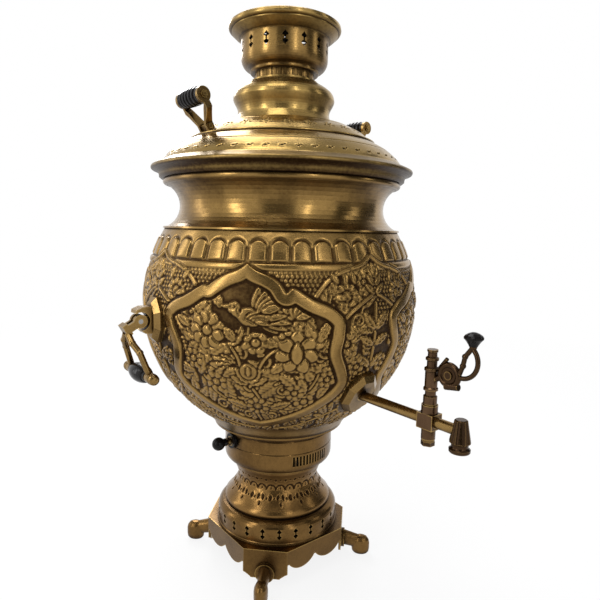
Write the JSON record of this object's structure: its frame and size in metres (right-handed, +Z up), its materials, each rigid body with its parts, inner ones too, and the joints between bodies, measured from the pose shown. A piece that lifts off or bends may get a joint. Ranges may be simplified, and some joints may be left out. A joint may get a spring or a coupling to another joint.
{
  "type": "gas samovar",
  "caption": "Round embossed brass tank on a bell stand with pierced gallery, gas burner housing, lifting lid, teapot crown, bail handles and a plug tap.",
  "frame": {"origin": "on the turned axis of the tank at floor level, in the plane of the four feet", "axes": "+Z up along the turned axis; -Y towards the tap, the front; +X and -X towards the side handles, with the gas knob on -X"},
  "size_m": [0.3534, 0.3918, 0.568],
  "materials": {
    "antique_brass": "satin antique brass, darker in the recesses",
    "dark_bronze": "dark bronzed brass, semi-gloss",
    "black_grip": "black, semi-gloss",
    "steel": "plain steel",
    "rubber_seal": "matt"
  },
  "bodies": {
    "stand_and_tank": {"foot_plate": "antique_brass", "foot_front_left": "antique_brass", "foot_front_right": "antique_brass", "foot_rear_left": "antique_brass", "foot_rear_right": "antique_brass", "foot_screws": "steel", "gallery_ring": "antique_brass", "bell_skirt": "antique_brass", "tie_rods": "steel", "tie_nuts": "steel", "burner_housing": "antique_brass", "housing_floor": "antique_brass", "burner_body": "steel", "burner_cap": "steel", "gas_injector": "antique_brass", "injector_pipe": "antique_brass", "inlet_pipe": "antique_brass", "gas_valve": "antique_brass", "knob_bush": "black_grip", "hose_nozzle": "antique_brass", "nozzle_nut": "antique_brass", "tank_collar": "antique_brass", "tank_bulb": "antique_brass", "tank_bottom": "antique_brass", "flue_tube": "antique_brass", "tank_neck": "antique_brass", "handle_bracket_left": "antique_brass", "handle_bracket_right": "antique_brass", "bracket_screws": "steel", "handle_pins": "steel", "tap_flange": "antique_brass", "tap_seal": "rubber_seal", "tap_backnut": "antique_brass", "tap_pipe": "antique_brass", "tap_body": "dark_bronze", "tap_spout": "dark_bronze"},
    "gas_control": {"valve_spindle": "antique_brass", "gas_knob": "black_grip"},
    "tap_cock": {"tap_plug": "dark_bronze", "tap_key": "dark_bronze", "key_knob": "black_grip", "plug_washer": "antique_brass", "plug_nut": "antique_brass"},
    "handle_left": {"bail_left": "antique_brass", "grip_left": "black_grip", "grip_rod_left": "antique_brass"},
    "handle_right": {"bail_right": "antique_brass", "grip_right": "black_grip", "grip_rod_right": "antique_brass"},
    "lid": {"lid_shell": "antique_brass", "lid_dome": "antique_brass", "lid_bases": "antique_brass", "lid_arms_left": "antique_brass", "lid_arms_right": "antique_brass", "lid_grip_left": "black_grip", "lid_grip_right": "black_grip", "lid_grip_bolts": "antique_brass"},
    "crown": {"crown_cup": "antique_brass", "crown_plate": "antique_brass", "crown_rim": "antique_brass"}
  },
  "joints": [
    {"name": "lid_lift", "type": "slide", "parent": "stand_and_tank", "child": "lid", "axis": [0, 0, 1], "range_m": [0, 0.16]},
    {"name": "crown_lift", "type": "slide", "parent": "lid", "child": "crown", "axis": [0, 0, 1], "range_m": [0, 0.08]},
    {"name": "tap_turn", "type": "hinge", "parent": "stand_and_tank", "child": "tap_cock", "pos_m": [0, -0.2055, 0.2138], "axis": [0, 0, 1], "range_deg": [-90, 90]},
    {"name": "gas_turn", "type": "hinge", "parent": "stand_and_tank", "child": "gas_control", "pos_m": [-0.06, 0, 0.141], "axis": [-1, 0, 0], "range_deg": [0, 90]},
    {"name": "handle_left_swing", "type": "hinge", "parent": "stand_and_tank", "child": "handle_left", "pos_m": [-0.15982, 0, 0.279], "axis": [0, 1, 0], "range_deg": [-8, 60]},
    {"name": "handle_right_swing", "type": "hinge", "parent": "stand_and_tank", "child": "handle_right", "pos_m": [0.15982, 0, 0.279], "axis": [0, -1, 0], "range_deg": [-8, 60]}
  ]
}
